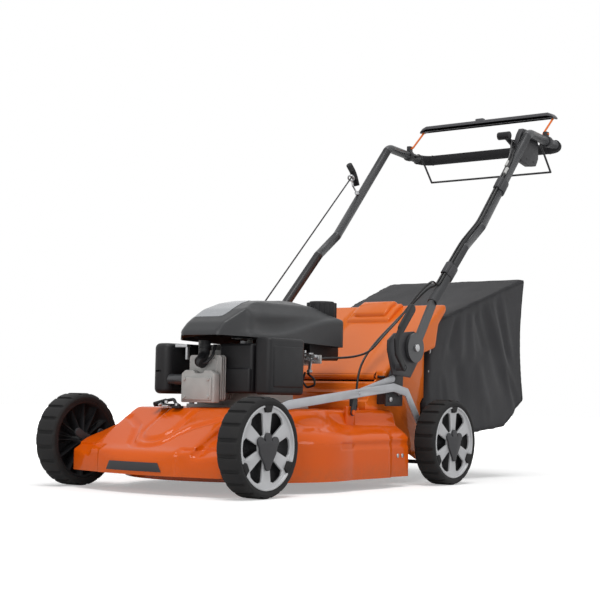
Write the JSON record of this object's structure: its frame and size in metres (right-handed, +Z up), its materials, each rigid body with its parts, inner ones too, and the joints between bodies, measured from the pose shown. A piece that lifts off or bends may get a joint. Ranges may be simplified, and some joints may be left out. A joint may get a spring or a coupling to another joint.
{
  "type": "walk-behind lawn mower",
  "caption": "Walk-behind petrol lawn mower with a rear grass bag, a folding loop handle, adjustable cutting height and driven rear wheels.",
  "frame": {"origin": "on the ground, on the centre plane, below the middle of the overall length", "axes": "+Z up, the mower's nose faces -Y and the grass bag +Y, +X is the operator's left"},
  "size_m": [0.59, 1.541, 1.059],
  "materials": {
    "orange_paint": "gloss",
    "orange_plastic": "gloss",
    "black_plastic": "fine texture",
    "dark_plastic": "satin",
    "grey_paint": "satin",
    "black_paint": "satin",
    "cast_alloy": "as cast",
    "bright_steel": "zinc plated",
    "silver_bar": "satin",
    "tyre_rubber": "matte",
    "rim_plastic": "satin",
    "bag_fabric": "woven",
    "soft_grip": "matte",
    "cable_sheath": "satin"
  },
  "bodies": {
    "chassis": {"deck": "orange_paint", "front_insert": "dark_plastic", "chute": "orange_plastic", "door_rod": "bright_steel", "wash_nozzle": "black_plastic", "handle_brackets": "black_paint", "crankcase": "cast_alloy", "cylinder_head": "cast_alloy", "valve_cover": "cast_alloy", "spark_plug": "black_plastic", "muffler": "black_paint", "muffler_guard": "black_paint", "carburettor": "cast_alloy", "air_filter_cover": "black_plastic", "fuel_tank": "black_plastic", "filler_neck": "black_plastic", "engine_cover": "dark_plastic", "drive_belt": "cable_sheath", "gearbox": "cast_alloy", "fasteners": "bright_steel", "control_cables": "cable_sheath", "starter_rope": "cable_sheath"},
    "rear_arm_pair": {"rear_arms": "black_paint"},
    "front_arm_pair": {"front_arms": "black_paint"},
    "link": {"height_link": "silver_bar"},
    "height_lever_body": {"height_lever": "silver_bar"},
    "wheel_front_l": {"tyre_front_left": "tyre_rubber", "rim_front_left": "rim_plastic"},
    "wheel_front_r": {"tyre_front_right": "tyre_rubber", "rim_front_right": "rim_plastic"},
    "wheel_rear_l": {"tyre_rear_left": "tyre_rubber", "rim_rear_left": "rim_plastic"},
    "wheel_rear_r": {"tyre_rear_right": "tyre_rubber", "rim_rear_right": "rim_plastic"},
    "pinion_l": {"pinion_left": "bright_steel"},
    "pinion_r": {"pinion_right": "bright_steel"},
    "rear_shaft": {"drive_shaft": "bright_steel"},
    "drive_pulley": {"gearbox_pulley": "bright_steel"},
    "crank": {"crankshaft": "bright_steel", "blade_hub": "bright_steel", "blade": "bright_steel", "blade_bolt": "bright_steel", "flywheel": "cast_alloy"},
    "recoil_pulley": {"starter_pulley": "black_plastic"},
    "pull_handle": {"starter_handle": "black_plastic"},
    "handle": {"handle_tube": "grey_paint", "handle_grip": "soft_grip", "cable_clips": "dark_plastic", "control_housing": "black_plastic", "rope_guide": "bright_steel"},
    "release_l": {"release_lever_left": "black_plastic"},
    "release_r": {"release_lever_right": "black_plastic"},
    "brake": {"brake_bail": "dark_plastic"},
    "drive": {"drive_bail": "black_paint"},
    "speed": {"speed_lever": "black_plastic"},
    "door": {"rear_door": "orange_plastic"},
    "bag": {"bag_cloth": "bag_fabric", "bag_frame": "bright_steel"},
    "cap": {"fuel_cap": "black_plastic"}
  },
  "joints": [
    {"name": "cutting_height", "type": "hinge", "parent": "chassis", "child": "rear_arm_pair", "pos_m": [0, 0.10568, 0.07479], "axis": [1, 0, 0], "range_deg": [0, 70]},
    {"name": "front_arms_turn", "type": "hinge", "parent": "chassis", "child": "front_arm_pair", "pos_m": [0, -0.63632, 0.07479], "axis": [1, 0, 0], "range_deg": [0, 70]},
    {"name": "height_lever_turn", "type": "hinge", "parent": "chassis", "child": "height_lever_body", "pos_m": [0, -0.2565, 0.1765], "axis": [1, 0, 0], "range_deg": [0, 70]},
    {"name": "link_turn", "type": "hinge", "parent": "rear_arm_pair", "child": "link", "pos_m": [0.226, 0.11768, 0.11979], "axis": [1, 0, 0], "range_deg": [-70, 0]},
    {"name": "wheel_front_l_spin", "type": "hinge", "parent": "front_arm_pair", "child": "wheel_front_l", "pos_m": [0.266, -0.6655, 0.105], "axis": [1, 0, 0], "continuous": true},
    {"name": "wheel_front_r_spin", "type": "hinge", "parent": "front_arm_pair", "child": "wheel_front_r", "pos_m": [-0.266, -0.6655, 0.105], "axis": [1, 0, 0], "continuous": true},
    {"name": "wheel_rear_l_spin", "type": "hinge", "parent": "rear_arm_pair", "child": "wheel_rear_l", "pos_m": [0.266, 0.0765, 0.105], "axis": [1, 0, 0], "continuous": true},
    {"name": "wheel_rear_r_spin", "type": "hinge", "parent": "rear_arm_pair", "child": "wheel_rear_r", "pos_m": [-0.266, 0.0765, 0.105], "axis": [1, 0, 0], "continuous": true},
    {"name": "pinion_l_spin", "type": "hinge", "parent": "rear_arm_pair", "child": "pinion_l", "pos_m": [0.243, 0.10568, 0.07479], "axis": [1, 0, 0], "continuous": true},
    {"name": "pinion_r_spin", "type": "hinge", "parent": "rear_arm_pair", "child": "pinion_r", "pos_m": [-0.243, 0.10568, 0.07479], "axis": [1, 0, 0], "continuous": true},
    {"name": "rear_shaft_spin", "type": "hinge", "parent": "chassis", "child": "rear_shaft", "pos_m": [0, 0.10568, 0.07479], "axis": [1, 0, 0], "continuous": true},
    {"name": "crank_spin", "type": "hinge", "parent": "chassis", "child": "crank", "pos_m": [0, -0.3895, 0.042], "axis": [0, 0, 1], "continuous": true},
    {"name": "drive_pulley_spin", "type": "hinge", "parent": "chassis", "child": "drive_pulley", "pos_m": [0, 0.07768, 0.111], "axis": [0, 0, 1], "continuous": true},
    {"name": "starter_pull", "type": "slide", "parent": "handle", "child": "pull_handle", "axis": [0, 0.6453, 0.764], "range_m": [0, 0.55], "deforming": ["starter_rope"]},
    {"name": "recoil_pulley_spin", "type": "hinge", "parent": "chassis", "child": "recoil_pulley", "pos_m": [0, -0.3895, 0.351], "axis": [0, 0, 1], "range_deg": [-1060, 0]},
    {"name": "handle_fold", "type": "hinge", "parent": "chassis", "child": "handle", "pos_m": [0, -0.0245, 0.335], "axis": [1, 0, 0], "range_deg": [0, 125], "deforming": ["control_cables", "starter_rope"]},
    {"name": "release_l_turn", "type": "hinge", "parent": "chassis", "child": "release_l", "pos_m": [0.252, -0.0945, 0.285], "axis": [1, 0, 0], "range_deg": [0, 12], "stiffness_Nm_per_rad": 2, "springref_deg": -20.05},
    {"name": "release_r_turn", "type": "hinge", "parent": "chassis", "child": "release_r", "pos_m": [-0.252, -0.0945, 0.285], "axis": [1, 0, 0], "range_deg": [0, 12], "stiffness_Nm_per_rad": 2, "springref_deg": -20.05},
    {"name": "brake_bail_turn", "type": "hinge", "parent": "handle", "child": "brake", "pos_m": [0, 0.6705, 0.976], "axis": [1, 0, 0], "range_deg": [-38, 0], "stiffness_Nm_per_rad": 1.5, "springref_deg": 28.65},
    {"name": "drive_bail_turn", "type": "hinge", "parent": "handle", "child": "drive", "pos_m": [0, 0.6905, 0.953], "axis": [1, 0, 0], "range_deg": [0, 26], "stiffness_Nm_per_rad": 0.8, "springref_deg": -17.19},
    {"name": "speed_lever_turn", "type": "hinge", "parent": "handle", "child": "speed", "pos_m": [0.202, 0.5635, 0.912], "axis": [1, 0, 0], "range_deg": [-25, 25]},
    {"name": "rear_door_turn", "type": "hinge", "parent": "chassis", "child": "door", "pos_m": [0, -0.0945, 0.262], "axis": [1, 0, 0], "range_deg": [0, 60], "deforming": ["control_cables", "starter_rope"]},
    {"name": "bag_pull_off", "type": "slide", "parent": "chassis", "child": "bag", "axis": [0, 1, 0], "range_m": [0, 0.4]},
    {"name": "fuel_cap_lift", "type": "slide", "parent": "chassis", "child": "cap", "axis": [0, 0, 1], "range_m": [0, 0.06]}
  ],
  "couplings": [
    {"joint": "front_arms_turn", "follows": "cutting_height", "ratio": 1},
    {"joint": "height_lever_turn", "follows": "cutting_height", "ratio": 1},
    {"joint": "link_turn", "follows": "cutting_height", "ratio": -1},
    {"joint": "pinion_l_spin", "follows": "wheel_rear_l_spin", "ratio": 4.5},
    {"joint": "pinion_r_spin", "follows": "wheel_rear_r_spin", "ratio": 4.5},
    {"joint": "drive_pulley_spin", "follows": "crank_spin", "ratio": 0.8125},
    {"joint": "recoil_pulley_spin", "follows": "starter_pull", "rad_per_m": -33.333}
  ]
}
